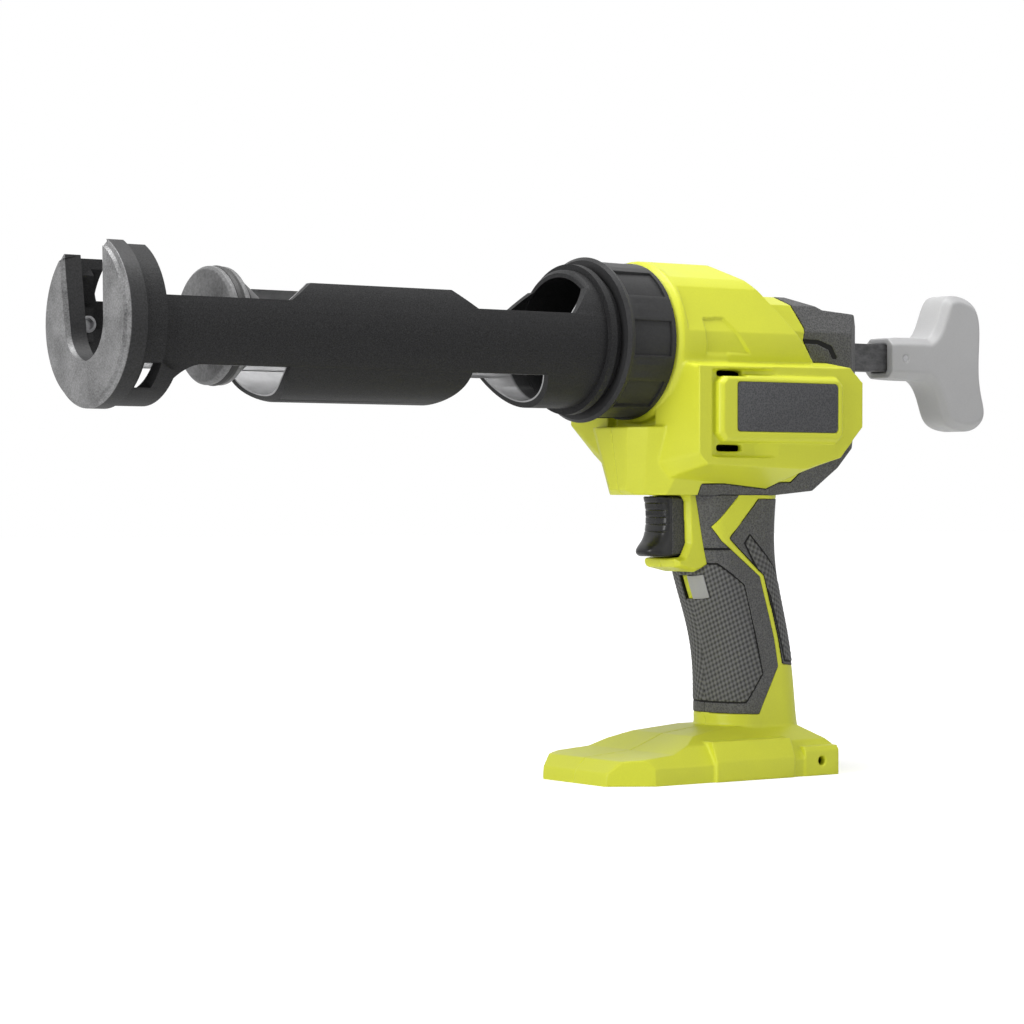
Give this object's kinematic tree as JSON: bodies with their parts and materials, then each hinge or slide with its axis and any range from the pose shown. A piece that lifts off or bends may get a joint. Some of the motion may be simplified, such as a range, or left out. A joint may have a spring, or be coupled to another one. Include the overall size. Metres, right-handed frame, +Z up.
{
  "type": "cordless caulking tool",
  "caption": "Battery caulking tool with an open turning cartridge carriage, a motor driven rack rod and piston, a pull handle, a lock collar, a sprung trigger and a foot for a stem battery.",
  "frame": {"origin": "middle of the foot's underside", "axes": "+X along the barrel to the nozzle, +Y to the user's left, +Z up"},
  "size_m": [0.4561, 0.09, 0.2172],
  "materials": {
    "housing": "fine moulded texture, yellow green",
    "overmould": "grainy soft overmould, dark grey",
    "badge": "plain dark plate, left bare",
    "black_plastic": "satin moulded",
    "trigger_plastic": "satin moulded",
    "grey_plastic": "satin moulded, light grey",
    "carriage_paint": "fine textured powder coat, black",
    "end_plate_metal": "blasted die casting",
    "screw_steel": "turned",
    "rod_steel": "dark phosphated, rough",
    "gear_steel": "hobbed and oiled",
    "frame_steel": "zinc plated sheet",
    "bronze": "sintered",
    "seal_rubber": "soft, matt",
    "white_plastic": "unpainted",
    "board_green": "solder mask"
  },
  "bodies": {
    "housing": {"left_housing": "housing", "right_housing": "housing", "left_grip_cover": "overmould", "right_grip_cover": "overmould", "left_back_strap": "overmould", "right_back_strap": "overmould", "left_rear_cover": "overmould", "right_rear_cover": "overmould", "left_badge_plate": "badge", "right_badge_plate": "badge", "housing_screws": "screw_steel", "carriage_mount": "black_plastic", "rod_front_bush": "bronze", "rod_rear_bush": "black_plastic", "ring_gear": "gear_steel", "motor_can": "frame_steel", "motor_end_cap": "black_plastic", "right_gear_plate": "frame_steel", "left_gear_plate": "frame_steel", "gear_frame_pillars": "frame_steel", "pinion_bushes": "bronze", "trigger_switch": "black_plastic", "terminal_block": "black_plastic", "battery_terminals": "bronze", "control_board": "board_green"},
    "carriage": {"carriage_frame": "carriage_paint", "front_end_plate": "end_plate_metal", "end_plate_screws": "screw_steel"},
    "collar": {"lock_collar": "black_plastic"},
    "rod": {"drive_rod": "rod_steel", "piston_plate": "grey_plastic", "piston_seal": "seal_rubber", "piston_backing": "black_plastic", "piston_screw": "screw_steel", "pull_handle": "grey_plastic", "handle_pin": "screw_steel"},
    "pinion": {"rack_pinion": "gear_steel", "driven_gear": "gear_steel"},
    "clutch": {"clutch_gear": "gear_steel"},
    "rotor": {"motor_rotor": "gear_steel", "sun_gear": "gear_steel"},
    "carrier": {"planet_carrier": "gear_steel"},
    "planet_1": {"planet_gear_1": "gear_steel"},
    "planet_2": {"planet_gear_2": "gear_steel"},
    "planet_3": {"planet_gear_3": "gear_steel"},
    "trigger_lever": {"trigger": "trigger_plastic", "trigger_pad": "trigger_plastic", "switch_plunger": "white_plastic", "trigger_spring": "screw_steel"},
    "lock": {"lock_button": "grey_plastic", "lock_button_foot": "grey_plastic"}
  },
  "joints": [
    {"name": "rod_slide", "type": "slide", "parent": "housing", "child": "rod", "axis": [1, 0, 0], "range_m": [-0.175, 0.024]},
    {"name": "pinion_spin", "type": "hinge", "parent": "housing", "child": "pinion", "pos_m": [-0.002, 0, 0.1665], "axis": [0, 1, 0], "range_deg": [-1114.08, 152.79]},
    {"name": "clutch_spin", "type": "hinge", "parent": "housing", "child": "clutch", "pos_m": [-0.02672, 0, 0.1495], "axis": [0, 1, 0], "range_deg": [-356.51, 2599.53]},
    {"name": "rotor_spin", "type": "hinge", "parent": "housing", "child": "rotor", "pos_m": [-0.02672, 0, 0.1495], "axis": [0, 1, 0], "continuous": true},
    {"name": "carrier_spin", "type": "hinge", "parent": "housing", "child": "carrier", "pos_m": [-0.02672, 0, 0.1495], "axis": [0, 1, 0], "continuous": true},
    {"name": "carriage_spin", "type": "hinge", "parent": "housing", "child": "carriage", "pos_m": [0.06, 0, 0.183], "axis": [1, 0, 0], "continuous": true},
    {"name": "collar_turn", "type": "hinge", "parent": "housing", "child": "collar", "pos_m": [0.045, 0, 0.183], "axis": [1, 0, 0], "range_deg": [0, 60]},
    {"name": "trigger_pull", "type": "slide", "parent": "housing", "child": "trigger_lever", "axis": [-1, 0, 0], "range_m": [0, 0.006], "stiffness_N_per_m": 900, "deforming": ["trigger_spring"]},
    {"name": "lock_slide", "type": "slide", "parent": "housing", "child": "lock", "axis": [0, -1, 0], "range_m": [0, 0.004]},
    {"name": "planet_1_spin", "type": "hinge", "parent": "carrier", "child": "planet_1", "pos_m": [-0.01862, 0, 0.1495], "axis": [0, 1, 0], "continuous": true},
    {"name": "planet_2_spin", "type": "hinge", "parent": "carrier", "child": "planet_2", "pos_m": [-0.03077, 0, 0.15651], "axis": [0, 1, 0], "continuous": true},
    {"name": "planet_3_spin", "type": "hinge", "parent": "carrier", "child": "planet_3", "pos_m": [-0.03077, 0, 0.14249], "axis": [0, 1, 0], "continuous": true}
  ],
  "couplings": [
    {"joint": "pinion_spin", "follows": "rod_slide", "rad_per_m": 111.11},
    {"joint": "clutch_spin", "follows": "rod_slide", "rad_per_m": -259.26},
    {"joint": "carrier_spin", "follows": "rotor_spin", "ratio": 0.22222},
    {"joint": "planet_1_spin", "follows": "rotor_spin", "ratio": -0.62222},
    {"joint": "planet_2_spin", "follows": "rotor_spin", "ratio": -0.62222},
    {"joint": "planet_3_spin", "follows": "rotor_spin", "ratio": -0.62222}
  ]
}
